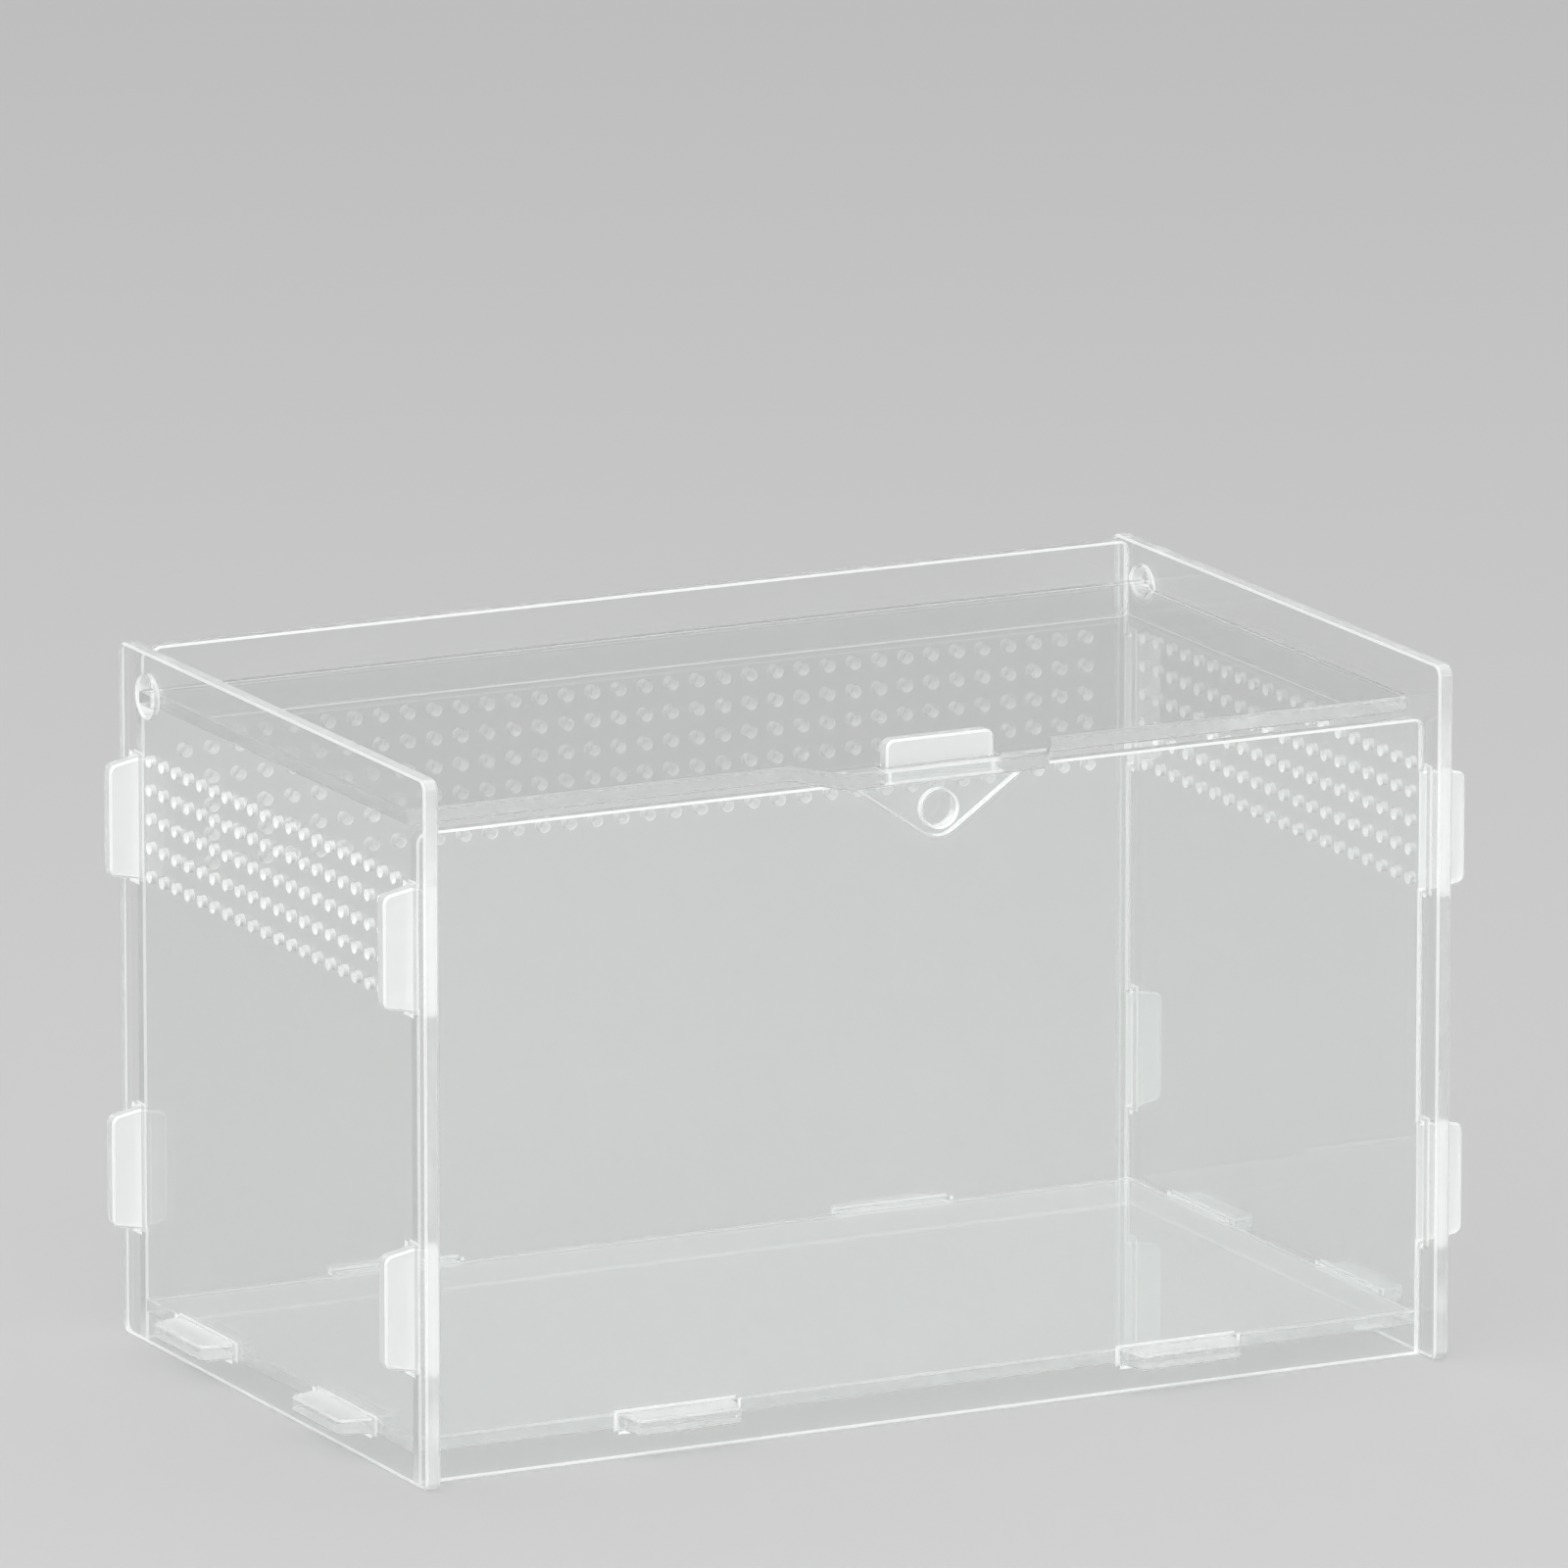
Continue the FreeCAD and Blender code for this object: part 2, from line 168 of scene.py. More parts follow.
class Tree:
    """A node tree, filled one node at a time."""

    def __init__(self, tree):
        self.tree = tree

    def node(self, kind, settings=None, sockets=None, output=0):
        """Add a node: its settings first, then a value, a wire or a list of wires for each socket."""
        made = self.tree.nodes.new(kind)
        for name, value in (settings or {}).items():
            setattr(made, name, value)
        for name, value in (sockets or {}).items():
            for item in value if isinstance(value, list) else [value]:
                if isinstance(item, Wire):
                    self.tree.links.new(item.output, made.inputs[name])
                else:
                    made.inputs[name].default_value = item
        return Wire(self, made.outputs[output]) if made.outputs else made


# Panels: an outline with slots, filled, given the sheet's thickness and stood in its place.
PANEL_INPUTS = {
    "Outline": "NodeSocketGeometry",
    "Thickness": "NodeSocketFloat",
    "Corner segments": "NodeSocketInt",
    "Hole middle": "NodeSocketVector",
    "Hole diameter": "NodeSocketFloat",
    "Hole segments": "NodeSocketInt",
    "Vent middle": "NodeSocketVector",
    "Vent diameter": "NodeSocketFloat",
    "Vent pitch": "NodeSocketFloat",
    "Vent columns": "NodeSocketInt",
    "Vent rows": "NodeSocketInt",
    "Vent segments": "NodeSocketInt",
    "Turn": "NodeSocketRotation",
    "Place": "NodeSocketVector",
    "Sheet": "NodeSocketMaterial",
    "Cut edge": "NodeSocketMaterial",
    "Vent wall": "NodeSocketMaterial",
}


def panel_tree():
    """The one tree that cuts every panel."""
    group = bpy.data.node_groups.new("cut_panel", "GeometryNodeTree")
    for name, kind in PANEL_INPUTS.items():
        group.interface.new_socket(name=name, in_out="INPUT", socket_type=kind)
    group.interface.new_socket(name="Panel", in_out="OUTPUT", socket_type="NodeSocketGeometry")
    tree = Tree(group)
    given = tree.node("NodeGroupInput")
    size = {name: given.other(name) for name in PANEL_INPUTS}

    lines = tree.node("GeometryNodeMeshToCurve", None, {"Mesh": size["Outline"]})
    rounding = tree.node("GeometryNodeInputNamedAttribute", {"data_type": "FLOAT"}, {"Name": "rounding"})
    outline = tree.node("GeometryNodeFilletCurve", {"mode": "POLY"},
                        {"Curve": lines, "Radius": rounding, "Count": size["Corner segments"]})

    ring = tree.node("GeometryNodeCurvePrimitiveCircle", {"mode": "RADIUS"},
                     {"Resolution": size["Hole segments"], "Radius": size["Hole diameter"] / 2})
    hole = tree.node("GeometryNodeTransform", None, {"Geometry": ring, "Translation": size["Hole middle"]})
    hole = tree.node("GeometryNodeSwitch", {"input_type": "GEOMETRY"},
                     {"Switch": size["Hole diameter"] > 0, "True": hole})

    grid = tree.node("GeometryNodeMeshGrid", None, {
        "Size X": (size["Vent columns"] - 1) * size["Vent pitch"],
        "Size Y": (size["Vent rows"] - 1) * size["Vent pitch"],
        "Vertices X": size["Vent columns"],
        "Vertices Y": size["Vent rows"],
    })
    grid = tree.node("GeometryNodeTransform", None, {"Geometry": grid, "Translation": size["Vent middle"]})
    vent = tree.node("GeometryNodeCurvePrimitiveCircle", {"mode": "RADIUS"},
                     {"Resolution": size["Vent segments"], "Radius": size["Vent diameter"] / 2})
    vents = tree.node("GeometryNodeInstanceOnPoints", None, {"Points": grid, "Instance": vent})
    vents = tree.node("GeometryNodeRealizeInstances", None, {"Geometry": vents})
    vents = tree.node("GeometryNodeSwitch", {"input_type": "GEOMETRY"},
                      {"Switch": size["Vent columns"] > 0, "True": vents})

    drawing = tree.node("GeometryNodeJoinGeometry", None, {"Geometry": [outline, hole, vents]})
    lower = tree.node("GeometryNodeFillCurve", {"mode": "NGONS"}, {"Curve": drawing})
    upper = tree.node("GeometryNodeExtrudeMesh", {"mode": "FACES"}, {
        "Mesh": lower, "Offset": (0, 0, 1), "Offset Scale": size["Thickness"], "Individual": False})
    cut = upper.other("Side")
    lower = tree.node("GeometryNodeFlipFaces", None, {"Mesh": lower})
    panel = tree.node("GeometryNodeJoinGeometry", None, {"Geometry": [upper, lower]})
    panel = tree.node("GeometryNodeMergeByDistance", None,
                      {"Geometry": panel, "Distance": SAME_PLACE * MM})
    panel = tree.node("GeometryNodeTransform", None, {
        "Geometry": panel, "Translation": size["Place"], "Rotation": size["Turn"]})
    panel = tree.node("GeometryNodeRealizeInstances", None, {"Geometry": panel})
    panel = tree.node("GeometryNodeSetMaterial", None, {"Geometry": panel, "Material": size["Sheet"]})
    panel = tree.node("GeometryNodeSetMaterial", None,
                      {"Geometry": panel, "Selection": cut, "Material": size["Cut edge"]})
    # The walls of the vents lie within half a diameter and half a thickness of the grid's points.
    placed_grid = tree.node("GeometryNodeTransform", None, {
        "Geometry": grid, "Translation": size["Place"], "Rotation": size["Turn"]})
    from_vent = tree.node("GeometryNodeProximity", {"target_element": "POINTS"},
                          {"Geometry": placed_grid}, "Distance")
    in_vent = ((size["Vent diameter"] + size["Thickness"]) / 2 > from_vent) * from_vent.other("Is Valid")
    # The vent walls take the vent wall finish, whose near-white is painted highlight.
    panel = tree.node("GeometryNodeSetMaterial", None,
                      {"Geometry": panel, "Selection": cut * in_vent, "Material": size["Vent wall"]})
    tree.node("NodeGroupOutput", None, {"Panel": panel})
    return group


def outline_mesh(name, loops):
    """Closed loops of (u, v, rounding) corners as loose edges, in metres."""
    corners, edges = [], []
    for loop in loops:
        first = len(corners)
        corners += loop
        edges += [(first + i, first + (i + 1) % len(loop)) for i in range(len(loop))]
    mesh = bpy.data.meshes.new(name)
    mesh.from_pydata([(u * MM, v * MM, 0) for u, v, _ in corners], edges, [])
    rounding = mesh.attributes.new("rounding", "FLOAT", "POINT")
    rounding.data.foreach_set("value", [radius * MM for _, _, radius in corners])
    return mesh


def cut_panel(name, loops, turn, place, finish, hole=((0, 0), 0), vents=((0, 0), 0), tab_roots=()):
    """One panel as a plain mesh, with the hole, the vents and the brightened tabs that it has; the tabs'
    near-white is painted highlight.
    """
    hole_middle, hole_diameter = hole
    vent_middle, vent_columns = vents
    values = {
        "Thickness": THICKNESS * MM,
        "Corner segments": CORNER_SEGMENTS,
        "Hole middle": (*(at * MM for at in hole_middle), 0),
        "Hole diameter": hole_diameter * MM,
        "Hole segments": HOLE_SEGMENTS,
        "Vent middle": (*(at * MM for at in vent_middle), 0),
        "Vent diameter": VENT_DIAMETER * MM,
        "Vent pitch": VENT_PITCH * MM,
        "Vent columns": vent_columns,
        "Vent rows": VENT_ROWS,
        "Vent segments": VENT_SEGMENTS,
        "Turn": turn.to_euler(),
        "Place": [at * MM for at in place],
        "Sheet": finish["sheet"],
        "Cut edge": finish["edge"],
        "Vent wall": VENT_WALL,
    }
    drawn = bpy.data.objects.new(name + "_drawing", outline_mesh(name + "_drawing", loops))
    bpy.context.collection.objects.link(drawn)
    cutter = drawn.modifiers.new("cut", "NODES")
    cutter.node_group = CUT_PANEL
    for item in CUT_PANEL.interface.items_tree:
        if item.in_out == "INPUT" and item.name in values:
            cutter[item.identifier] = values[item.name]
    bpy.context.view_layer.update()
    evaluated = drawn.evaluated_get(bpy.context.evaluated_depsgraph_get())
    mesh = bpy.data.meshes.new_from_object(evaluated)
    mesh.name = name
    break_edges(mesh, finish)
    brighten_tabs(mesh, finish, tab_roots)
    mesh.shade_smooth()
    mesh.set_sharp_from_angle(angle=SMOOTH_ANGLE)
    bpy.data.objects.remove(drawn)
    piece = bpy.data.objects.new(name, mesh)
    bpy.context.collection.objects.link(piece)
    return piece


def slot_of(mesh, material):
    """The index of a material on a mesh, added if it isn't there yet."""
    if material.name not in mesh.materials:
        mesh.materials.append(material)
    return mesh.materials.find(material.name)


def break_edges(mesh, finish):
    """Chamfer the rims where the faces of the sheet meet its cut edges, and less so round the vents; the
    chamfers take the white rim finishes, painted highlight lines.
    """
    flat, rim, vent = [slot_of(mesh, material) for material in (finish["sheet"], finish["rim"], VENT_WALL)]
    shape = bmesh.new()
    shape.from_mesh(mesh)
    edges, vents = [], []
    for edge in shape.edges:
        touching = {face.material_index for face in edge.link_faces}
        if flat in touching and len(touching) > 1:
            (vents if vent in touching else edges).append(edge)
    for rims, size, material in ((edges, EDGE_BREAK, rim), (vents, VENT_BREAK, vent)):
        bmesh.ops.bevel(shape, geom=rims, offset=size * MM, offset_type="OFFSET", segments=1,
                        profile=0.5, affect="EDGES", clamp_overlap=False, material=material)
    shape.to_mesh(mesh)
    shape.free()


def brighten_tabs(mesh, finish, tab_roots):
    """Give the faces of the tabs, beyond the panels that they pass, their own near-white finish, a painted
    highlight.
    """
    if not tab_roots:
        return
    flat, bright_tab_slot = slot_of(mesh, finish["sheet"]), slot_of(mesh, finish["tab"])
    shape = bmesh.new()
    shape.from_mesh(mesh)
    for direction, distance in tab_roots:
        normal = Vector(direction)
        every = shape.verts[:] + shape.edges[:] + shape.faces[:]
        bmesh.ops.bisect_plane(shape, geom=every, plane_co=normal * distance * MM, plane_no=normal)
        for face in shape.faces:
            if face.material_index == flat and face.calc_center_median().dot(normal) > distance * MM:
                face.material_index = bright_tab_slot
    shape.to_mesh(mesh)
    shape.free()


def rectangle(middle_u, middle_v, size_u, size_v, rounding=0):
    """A rectangle's corners about its middle."""
    left, right = middle_u - size_u / 2, middle_u + size_u / 2
    low, high = middle_v - size_v / 2, middle_v + size_v / 2
    return [(left, low, rounding), (right, low, rounding), (right, high, rounding), (left, high, rounding)]


def tab_on(edge, passed, tip, middle):
    """A tab's corners across and along an edge, in the order of rising places along it."""
    half = TAB_WIDTH / 2
    low, high = middle - half, middle + half
    rising = [(edge, low, 0), (passed, low, 0), (tip, low + TAB_TAPER, TAB_RADIUS)]
    return rising + [(tip, high - TAB_TAPER, TAB_RADIUS), (passed, high, 0), (edge, high, 0)]


def swapped(corners):
    """The same corners with the two drawing directions exchanged."""
    return [(v, u, rounding) for u, v, rounding in corners]


def side_panel(name, low, high):
    """A side panel, slotted for the walls and the floor, with its hinge hole and vents."""
    depth, height = high.y - low.y, high.z - low.z
    loops = [rectangle((low.y + high.y) / 2, height / 2, depth, height, CORNER_RADIUS)]
    for wall in ((FRONT_LOW.y + FRONT_HIGH.y) / 2, (BACK_LOW.y + BACK_HIGH.y) / 2):
        loops += [rectangle(wall, tab, SLOT_WIDTH, SLOT_LENGTH) for tab in TAB_HEIGHTS]
    for side in (-1, 1):
        middle = SIDE_MIDDLE + side * FLOOR_SIDE_SPREAD / 2
        loops.append(rectangle(middle, FLOOR_MIDDLE, SLOT_LENGTH, SLOT_WIDTH))
    return cut_panel(name, loops, FACING_RIGHT, (low.x, 0, 0), SIDE_FINISH,
                     hole=((HINGE.y, HINGE.z), HINGE_HOLE),
                     vents=((SIDE_MIDDLE, VENT_HEIGHT), SIDE_VENT_COLUMNS))


def wall_panel(name, low, high, vent_columns):
    """A front or back wall with two tabs at each end and slots for the floor's tabs."""
    end = INSIDE_X - BUTT_GAP
    passed, tip = RIGHT_HIGH.x, high.x
    right = [tab_on(end, passed, tip, middle) for middle in TAB_HEIGHTS]
    left = [tab_on(-end, -passed, -tip, middle) for middle in TAB_HEIGHTS]
    outline = [(-end, 0, 0), (end, 0, 0)] + right[0] + right[1]
    outline += [(end, high.z, CORNER_RADIUS), (-end, high.z, CORNER_RADIUS)]
    outline += left[1][::-1] + left[0][::-1]
    loops = [outline]
    for side in (-1, 1):
        loops.append(rectangle(side * FLOOR_TAB_SPREAD / 2, FLOOR_MIDDLE, SLOT_LENGTH, SLOT_WIDTH))
    return cut_panel(name, loops, FACING_FRONT, (0, high.y, 0), WALL_FINISH,
                     vents=((0, VENT_HEIGHT), vent_columns), tab_roots=WALL_TAB_ROOTS)


def floor_panel(name):
    """The floor, with two tabs on each edge."""
    end = INSIDE_X - BUTT_GAP
    front, back = FRONT_HIGH.y + BUTT_GAP, BACK_LOW.y - BUTT_GAP
    across = [side * FLOOR_TAB_SPREAD / 2 for side in (-1, 1)]
    along = [SIDE_MIDDLE + side * FLOOR_SIDE_SPREAD / 2 for side in (-1, 1)]
    fore = [swapped(tab_on(front, FRONT_LOW.y, FLOOR_LOW.y, middle)) for middle in across]
    aft = [swapped(tab_on(back, BACK_HIGH.y, FLOOR_HIGH.y, middle)) for middle in across]
    right = [tab_on(end, RIGHT_HIGH.x, FLOOR_HIGH.x, middle) for middle in along]
    left = [tab_on(-end, LEFT_LOW.x, FLOOR_LOW.x, middle) for middle in along]
    outline = [(-end, front, 0)] + fore[0] + fore[1] + [(end, front, 0)] + right[0] + right[1]
    outline += [(end, back, 0)] + aft[1][::-1] + aft[0][::-1]
    outline += [(-end, back, 0)] + left[1][::-1] + left[0][::-1]
    return cut_panel(name, [outline], LYING, (0, 0, FLOOR_LOW.z), FLOOR_FINISH, tab_roots=FLOOR_TAB_ROOTS)


def lid_panel(name):
    """The lid, with hinge ears at its rear corners and a slotted tongue at the front."""
    half, ear_tip = INSIDE_X - LID_SIDE_GAP, LID_HIGH.x
    front, rear = FRONT_HIGH.y + LID_FRONT_GAP, LID_HIGH.y
    ear_front = rear - EAR_WIDTH
    outline = [(-half, front, CORNER_RADIUS), (-TONGUE_ROOT / 2, front, 0)]
    outline += [(-TONGUE_TIP / 2, LID_LOW.y, TONGUE_RADIUS), (TONGUE_TIP / 2, LID_LOW.y, TONGUE_RADIUS)]
    outline += [(TONGUE_ROOT / 2, front, 0), (half, front, CORNER_RADIUS)]
    outline += [(half, ear_front, 0), (ear_tip, ear_front, 0), (ear_tip, rear, 0)]
    outline += [(-ear_tip, rear, 0), (-ear_tip, ear_front, 0), (-half, ear_front, 0)]
    slot = rectangle(0, (PULL_LOW.y + PULL_HIGH.y) / 2, PULL_WIDTH + 2 * PULL_SLOT_GAP, SLOT_WIDTH)
    return cut_panel(name, [outline, slot], LYING, (0, 0, LID_LOW.z), LID_FINISH)


def pull_tab(name):
    """The pull tab: a stem through the tongue over a pointed plate, rounded about its hole."""
    base, stem, shoulder = PULL_HIGH.x, PULL_WIDTH / 2, LID_LOW.z - BUTT_GAP
    drop, radius = LID_LOW.z - PULL_HOLE_PLACE.z, PULL_HOLE_RADIUS + PULL_RIM
    slope = math.atan2(drop, base) + math.asin(radius / math.hypot(base, drop))
    outline = [(0, LID_LOW.z - base * math.tan(slope), radius), (base, shoulder, 0), (stem, shoulder, 0)]
    outline += [(stem, PULL_HIGH.z, TAB_RADIUS), (-stem, PULL_HIGH.z, TAB_RADIUS)]
    outline += [(-stem, shoulder, 0), (-base, shoulder, 0)]
    return cut_panel(name, [outline], FACING_FRONT, (0, PULL_HIGH.y, 0), WALL_FINISH,
                     hole=((0, PULL_HOLE_PLACE.z), 2 * PULL_HOLE_RADIUS), tab_roots=STEM_ROOT)


# Finishes: how the acrylic bends light, and the tint of its faces, edges, rims and tabs. Where the edges,
# rims and tabs are not clear, their near-white is painted highlight.
ACRYLIC_INDEX = 1.49
LAMP_TINT = (0.965, 0.97, 0.967, 1)
SHEET_TINT = (0.9, 0.91, 0.904, 1)
# Near-white of the cut edges' unclear share: painted brightness on the edges.
EDGE_TINT = (0.97, 0.985, 0.98, 1)
# Near-white of the rims and vent walls: painted highlight lines and dots.
RIM_HIGHLIGHT_TINT = (0.97, 0.98, 0.98, 1)
# Near-white of the tabs beyond their slots: painted highlight.
TAB_BRIGHT_TINT = (0.95, 0.96, 0.96, 1)
# How fine each pattern is, in features along a metre.
SMUDGE_SCALE = 26
SPECKLE_SCALE = 420
RIPPLE_SCALE = 14
CUT_LINE_SCALE = 1500
CUT_BAND_SCALE = 90
RIM_GRAIN_SCALE = 900
TAB_MOTTLE_SCALE = 160
# How deep the ripple of the sheet and the lines of the cut are, in metres.
RIPPLE_DEPTH = 0.0004
CUT_LINE_DEPTH = 0.00005
# The lines of the cut are drawn out through the sheet by this scale.
LINE_STRETCH = 0.04
# Roughness of the cleanest sheet, and what smudges and speckles add to it.
SHEET_ROUGHNESS = 0.003
SMUDGE_ROUGHNESS = 0.025
SPECKLE_ROUGHNESS = 0.003
# Roughness of the rims and tabs, and what their grain and mottle add to it.
RIM_ROUGHNESS = 0.25
TAB_ROUGHNESS = 0.06
GRAIN_ROUGHNESS = 0.2


def new_material(name):
    """An empty material and its tree."""
    material = bpy.data.materials.new(name)
    material.use_nodes = True
    material.node_tree.nodes.clear()
    return material, Tree(material.node_tree)


def let_lamps_through(tree, shader):
    """End a finish, so that lamps shine through it to what is behind."""
    lamplight = tree.node("ShaderNodeLightPath", output="Is Shadow Ray")
    passed = tree.node("ShaderNodeBsdfTransparent", None, {"Color": LAMP_TINT})
    surface = tree.node("ShaderNodeMixShader", None, {0: lamplight, 1: shader, 2: passed})
    tree.node("ShaderNodeOutputMaterial", None, {"Surface": surface})


def clear_sheet(name, clarity):
    """Polished cast sheet: clear, with a breath of haze, handling smudges and a faint ripple."""
    material, tree = new_material(name)
    place = tree.node("ShaderNodeTexCoord", output="Object")
    smudge = tree.node("ShaderNodeTexNoise", None, {
        "Vector": place, "Scale": SMUDGE_SCALE, "Detail": 4, "Roughness": 0.6, "Distortion": 0.8})
    speckle = tree.node("ShaderNodeTexNoise", None, {"Vector": place, "Scale": SPECKLE_SCALE, "Detail": 2})
    ripple = tree.node("ShaderNodeTexNoise", None, {"Vector": place, "Scale": RIPPLE_SCALE, "Detail": 1})
    bump = tree.node("ShaderNodeBump", None,
                     {"Strength": 0.06, "Distance": RIPPLE_DEPTH, "Height": ripple})
    shader = tree.node("ShaderNodeBsdfPrincipled", None, {
        "Base Color": SHEET_TINT,
        "Roughness": SHEET_ROUGHNESS + smudge * smudge * SMUDGE_ROUGHNESS + speckle * SPECKLE_ROUGHNESS,
        "IOR": ACRYLIC_INDEX,
        "Transmission Weight": clarity,
        "Normal": bump,
    })
    let_lamps_through(tree, shader)
    return material


def cut_edge(name, through, clarity, frost):
    """Laser-cut edge: more or less frosted, with fine lines running through the sheet. The near-white share
    that is not clear is painted brightness, for the light a clear cut edge carries.
    """
    material, tree = new_material(name)
    place = tree.node("ShaderNodeTexCoord", output="Object")
    drawn_out = tree.node("ShaderNodeVectorMath", {"operation": "MULTIPLY"}, {0: place, 1: through})
    lines = tree.node("ShaderNodeTexNoise", None,
                      {"Vector": drawn_out, "Scale": CUT_LINE_SCALE, "Detail": 2})
    bands = tree.node("ShaderNodeTexNoise", None,
                      {"Vector": drawn_out, "Scale": CUT_BAND_SCALE, "Detail": 2})
    bump = tree.node("ShaderNodeBump", None,
                     {"Strength": 0.2 * frost, "Distance": CUT_LINE_DEPTH, "Height": lines})
    # Transmission short of full leaves a near-white diffuse share: painted brightness on the edge.
    shader = tree.node("ShaderNodeBsdfPrincipled", None, {
        "Base Color": EDGE_TINT,
        "Roughness": frost * (1 + lines * 0.5 + bands * 0.5),
        "IOR": ACRYLIC_INDEX,
        "Transmission Weight": clarity,
        "Normal": bump,
    })
    let_lamps_through(tree, shader)
    return material


def white_rim(name, clarity):
    """The rims along the cut edges and the walls of the vents: more or less white, finely rough. The white
    is painted highlight, for the bright lines and dots that clear cut acrylic shows there.
    """
    material, tree = new_material(name)
    place = tree.node("ShaderNodeTexCoord", output="Object")
    grain = tree.node("ShaderNodeTexNoise", None, {"Vector": place, "Scale": RIM_GRAIN_SCALE, "Detail": 3})
    # Mostly opaque near-white: painted highlight.
    shader = tree.node("ShaderNodeBsdfPrincipled", None, {
        "Base Color": RIM_HIGHLIGHT_TINT,
        "Roughness": RIM_ROUGHNESS + grain * GRAIN_ROUGHNESS,
        "IOR": ACRYLIC_INDEX,
        "Transmission Weight": clarity,
    })
    let_lamps_through(tree, shader)
    return material


def bright_tab(name, clarity):
    """The tabs' faces in and beyond their slots: half opaque and near-white, a painted highlight for the
    brightness of the clear tabs, with a mottled roughness.
    """
    material, tree = new_material(name)
    place = tree.node("ShaderNodeTexCoord", output="Object")
    tab_mottle = tree.node("ShaderNodeTexNoise", None, {"Vector": place, "Scale": TAB_MOTTLE_SCALE, "Detail": 4})
    # Near-white and half opaque: painted highlight on the tabs.
    shader = tree.node("ShaderNodeBsdfPrincipled", None, {
        "Base Color": TAB_BRIGHT_TINT,
        "Roughness": TAB_ROUGHNESS + tab_mottle * GRAIN_ROUGHNESS,
        "IOR": ACRYLIC_INDEX,
        "Transmission Weight": clarity,
    })
    let_lamps_through(tree, shader)
    return material


WALL_SHEET = clear_sheet("wall_sheet", clarity=0.91)
FLOOR_SHEET = clear_sheet("floor_sheet", clarity=0.8)
LID_SHEET = clear_sheet("lid_sheet", clarity=0.97)
# The cut edges below are part clear, part near-white: the near-white is painted brightness.
SIDE_EDGE = cut_edge("side_edge", (LINE_STRETCH, 1, 1), clarity=0.6, frost=0.14)
WALL_EDGE = cut_edge("wall_edge", (1, LINE_STRETCH, 1), clarity=0.6, frost=0.14)
FLOOR_EDGE = cut_edge("floor_edge", (1, 1, LINE_STRETCH), clarity=0.9, frost=0.04)
LID_EDGE = cut_edge("lid_edge", (1, 1, LINE_STRETCH), clarity=0.9, frost=0.16)
# Rims and vent walls: near-white painted highlight, more opaque the lower the clarity.
WHITE_HIGHLIGHT_RIM = white_rim("white_rim", clarity=0.2)
FLOOR_RIM = white_rim("floor_rim", clarity=0.55)
LID_RIM = white_rim("lid_rim", clarity=0.62)
VENT_WALL = white_rim("vent_wall", clarity=0.4)
# Tabs: near-white painted highlight beyond their slots.
WALL_TAB = bright_tab("wall_tab", clarity=0.45)
FLOOR_TAB = bright_tab("floor_tab", clarity=0.6)
SIDE_FINISH = {"sheet": WALL_SHEET, "edge": SIDE_EDGE, "rim": WHITE_HIGHLIGHT_RIM}
WALL_FINISH = {"sheet": WALL_SHEET, "edge": WALL_EDGE, "rim": WHITE_HIGHLIGHT_RIM, "tab": WALL_TAB}
FLOOR_FINISH = {"sheet": FLOOR_SHEET, "edge": FLOOR_EDGE, "rim": FLOOR_RIM, "tab": FLOOR_TAB}
LID_FINISH = {"sheet": LID_SHEET, "edge": LID_EDGE, "rim": LID_RIM}
CUT_PANEL = panel_tree()

# The pieces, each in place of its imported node.
pieces = [
    (side_panel("left_side_sheet", LEFT_LOW, LEFT_HIGH), "left_side_panel", "box"),
    (side_panel("right_side_sheet", RIGHT_LOW, RIGHT_HIGH), "right_side_panel", "box"),
    (wall_panel("front_sheet", FRONT_LOW, FRONT_HIGH, 0), "front_panel", "box"),
    (wall_panel("back_sheet", BACK_LOW, BACK_HIGH, BACK_VENT_COLUMNS), "back_panel", "box"),
    (floor_panel("floor_sheet"), "floor_panel", "box"),
    (lid_panel("lid_sheet"), "lid_panel", "lid"),
    (pull_tab("pull_tab_sheet"), "pull_tab", "lid"),
]
for piece, node, body in pieces:
    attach(piece, body)
    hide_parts(node)

# Studio: a pale floor, a soft sky and large soft lamps, in metres and watts.
FLOOR_REACH = 8.0
FLOOR_DROP = 0.0003
STUDIO_GREY = (0.64, 0.64, 0.64, 1)
SKY_COLOUR = (1, 1, 1, 1)
LAMP_AIM = Vector((0, 0, 0.06))
# The sky's strength low down and high up, and the heights between which it changes.
SKY_LOW, SKY_HIGH = 0.43, 0.66
SKY_FROM, SKY_TO = 0.1, 0.6
# The camera at the photograph's angle: far off, with a long lens, raised to frame the box as it does.
VIEW_AZIMUTH = math.radians(26.82)
VIEW_ELEVATION = math.radians(13.07)
VIEW_DISTANCE = 3.429
VIEW_RISE = 0.03998
VIEW_AIM = Vector((0, 0.0007, 0.0588))
SENSOR_WIDTH = 36
LENS = 456.4
# Light passes many sheets before it leaves the box.
CLEAR_BOUNCES = 32
GLOSSY_BOUNCES = 16


def studio_floor():
    """A wide pale floor under the box."""
    reach = FLOOR_REACH
    corners = [(-reach, -reach), (reach, -reach), (reach, reach), (-reach, reach)]
    mesh = bpy.data.meshes.new("studio_floor")
    mesh.from_pydata([(x, y, -FLOOR_DROP) for x, y in corners], [], [range(len(corners))])
    material, tree = new_material("studio_floor")
    shader = tree.node("ShaderNodeBsdfPrincipled", None, {
        "Base Color": STUDIO_GREY, "Roughness": 0.8, "Specular IOR Level": 0.1})
    tree.node("ShaderNodeOutputMaterial", None, {"Surface": shader})
    mesh.materials.append(material)
    floor = bpy.data.objects.new("studio_floor", mesh)
    bpy.context.collection.objects.link(floor)


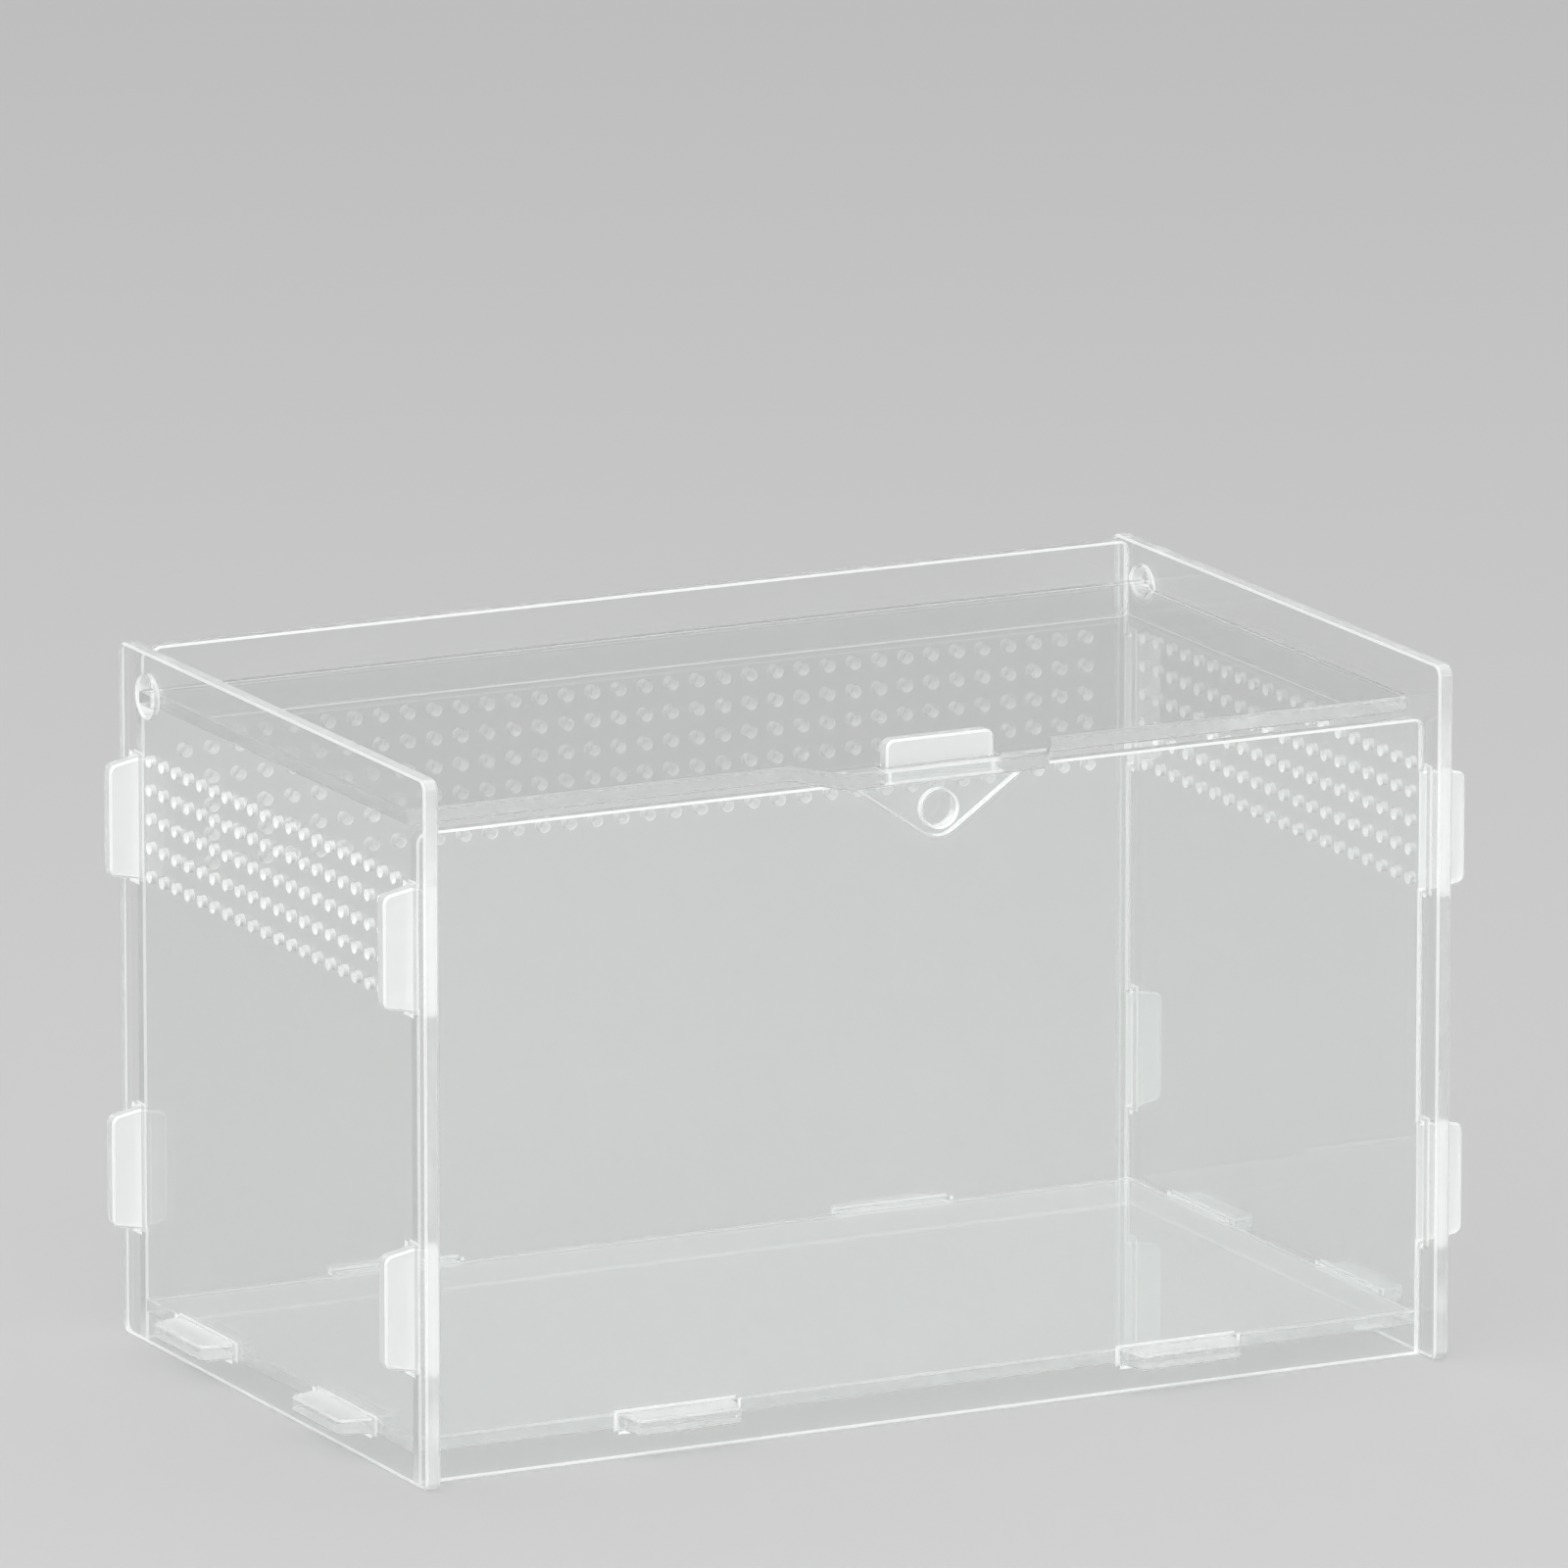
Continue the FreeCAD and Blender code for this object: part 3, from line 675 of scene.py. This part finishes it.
def soft_lamp(name, place, size, power):
    """A large square lamp at a place, turned to the box."""
    light = bpy.data.lights.new(name, "AREA")
    light.size = size
    light.energy = power
    lamp = bpy.data.objects.new(name, light)
    lamp.location = place
    lamp.rotation_euler = (LAMP_AIM - Vector(place)).to_track_quat("-Z", "Y").to_euler()
    bpy.context.collection.objects.link(lamp)


def studio_sky():
    """A pale sky, a little darker towards the horizon."""
    world = bpy.data.worlds.new("studio_sky")
    world.use_nodes = True
    world.node_tree.nodes.clear()
    tree = Tree(world.node_tree)
    direction = tree.node("ShaderNodeTexCoord", output="Generated")
    height = tree.node("ShaderNodeSeparateXYZ", None, {0: direction}, "Z")
    rise = tree.node("ShaderNodeMapRange", {"interpolation_type": "SMOOTHSTEP"}, {
        "Value": height, "From Min": SKY_FROM, "From Max": SKY_TO, "To Min": SKY_LOW, "To Max": SKY_HIGH})
    sky = tree.node("ShaderNodeBackground", None, {"Color": SKY_COLOUR, "Strength": rise})
    tree.node("ShaderNodeOutputWorld", None, {"Surface": sky})
    bpy.context.scene.world = world


def photo_camera():
    """The camera, turned to its aim and then raised."""
    level = math.cos(VIEW_ELEVATION)
    forward = Vector((math.sin(VIEW_AZIMUTH) * level, math.cos(VIEW_AZIMUTH) * level,
                      -math.sin(VIEW_ELEVATION)))
    right = Vector((math.cos(VIEW_AZIMUTH), -math.sin(VIEW_AZIMUTH), 0))
    up = right.cross(forward)
    data = bpy.data.cameras.new("photo_camera")
    data.sensor_width = SENSOR_WIDTH
    data.lens = LENS
    camera = bpy.data.objects.new("photo_camera", data)
    camera.matrix_world = Matrix((right, up, -forward)).transposed().to_4x4()
    camera.location = VIEW_AIM - VIEW_DISTANCE * forward + VIEW_RISE * up
    bpy.context.collection.objects.link(camera)
    bpy.context.scene.camera = camera


studio_floor()
studio_sky()
soft_lamp("key", place=(-1.2, -1.6, 1.3), size=2.4, power=34)
soft_lamp("top", place=(0.3, 0.3, 2.0), size=1.2, power=5)
photo_camera()
bpy.context.scene.view_settings.view_transform = "Standard"
bpy.context.scene.cycles.max_bounces = CLEAR_BOUNCES
bpy.context.scene.cycles.transmission_bounces = CLEAR_BOUNCES
bpy.context.scene.cycles.glossy_bounces = GLOSSY_BOUNCES
